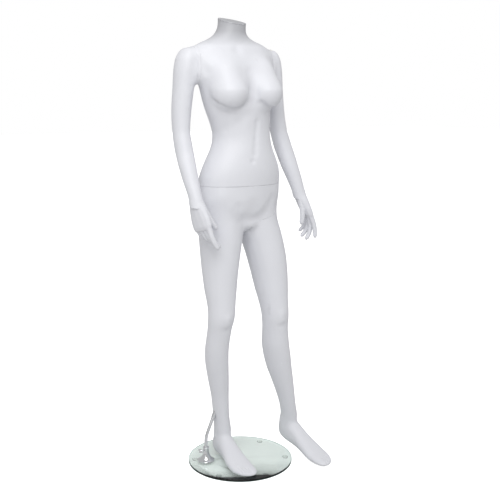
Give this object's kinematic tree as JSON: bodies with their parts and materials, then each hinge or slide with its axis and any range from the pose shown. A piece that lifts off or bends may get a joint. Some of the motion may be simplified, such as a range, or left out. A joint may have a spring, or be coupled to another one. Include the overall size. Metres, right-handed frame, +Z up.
{
  "type": "full body mannequin",
  "caption": "Headless standing display figure of hollow moulded shells with removable arms, hands, torso and leg, on a round glass base with a bent calf rod.",
  "frame": {"origin": "on the floor under the middle of the round base", "axes": "+Z up, the figure faces -Y, the figure's own left side is +X"},
  "size_m": [0.5281, 0.4234, 1.5852],
  "materials": {
    "white_shell": "satin white lacquer over moulded shell",
    "plate_plastic": "raw moulded plate, matt",
    "chrome": "bright chrome plating",
    "steel": "plain zinc plated steel",
    "clear_glass": "clear toughened glass with a green edge",
    "clear_rubber": "clear soft vinyl",
    "grey_plastic": "grey nylon"
  },
  "bodies": {
    "base": {"glass_base": "clear_glass", "bumper_centre": "clear_rubber", "bumper_rim_1": "clear_rubber", "bumper_rim_2": "clear_rubber", "bumper_rim_3": "clear_rubber", "bumper_rim_4": "clear_rubber", "bumper_rim_5": "clear_rubber", "bumper_rim_6": "clear_rubber", "flange_gasket": "clear_rubber", "base_flange": "chrome", "flange_bolt": "steel"},
    "wing": {"wing_screw": "chrome"},
    "rod": {"support_rod": "chrome"},
    "lower_body": {"lower_body_shell": "white_shell", "hip_plate": "plate_plastic", "waist_spigot": "steel", "thigh_plate": "plate_plastic", "calf_socket": "steel"},
    "left_leg": {"left_leg_shell": "white_shell", "left_leg_plate": "plate_plastic", "left_leg_peg": "steel"},
    "torso": {"torso_shell": "white_shell", "torso_plate": "plate_plastic", "neck_cap": "white_shell", "right_shoulder_plate": "plate_plastic", "left_shoulder_plate": "plate_plastic"},
    "right_arm": {"right_arm_shell": "white_shell", "right_arm_plate": "plate_plastic", "right_arm_peg": "steel", "right_wrist_bush": "grey_plastic"},
    "left_arm": {"left_arm_shell": "white_shell", "left_arm_plate": "plate_plastic", "left_arm_peg": "steel", "left_wrist_bush": "grey_plastic"},
    "right_hand": {"right_hand": "white_shell", "right_wrist_pin": "steel"},
    "left_hand": {"left_hand": "white_shell", "left_wrist_pin": "steel"}
  },
  "joints": [
    {"name": "wing_screw_turn", "type": "hinge", "parent": "base", "child": "wing", "pos_m": [-0.121, 0.042, 0.052], "axis": [-0.9344, 0.3562, 0], "range_deg": [0, 720]},
    {"name": "rod_lift", "type": "slide", "parent": "base", "child": "rod", "axis": [0, 0, 1], "range_m": [0, 0.034]},
    {"name": "figure_lift", "type": "slide", "parent": "rod", "child": "lower_body", "axis": [0.4166, 0.0126, 0.909], "range_m": [0, 0.09]},
    {"name": "left_leg_release", "type": "slide", "parent": "lower_body", "child": "left_leg", "axis": [0.27, 0, -0.9629], "range_m": [0, 0.025]},
    {"name": "torso_lift", "type": "slide", "parent": "lower_body", "child": "torso", "axis": [0, 0, 1], "range_m": [0, 0.06]},
    {"name": "right_arm_release", "type": "slide", "parent": "torso", "child": "right_arm", "axis": [-1, 0, 0], "range_m": [0, 0.035]},
    {"name": "left_arm_release", "type": "slide", "parent": "torso", "child": "left_arm", "axis": [1, 0, 0], "range_m": [0, 0.035]},
    {"name": "right_hand_turn", "type": "hinge", "parent": "right_arm", "child": "right_hand", "pos_m": [-0.208, -0.0556, 0.984], "axis": [0.01, -0.36, -0.9329], "range_deg": [-40, 40]},
    {"name": "left_hand_turn", "type": "hinge", "parent": "left_arm", "child": "left_hand", "pos_m": [0.238, -0.024, 0.984], "axis": [0.2079, -0.2429, -0.9475], "range_deg": [-40, 40]}
  ]
}
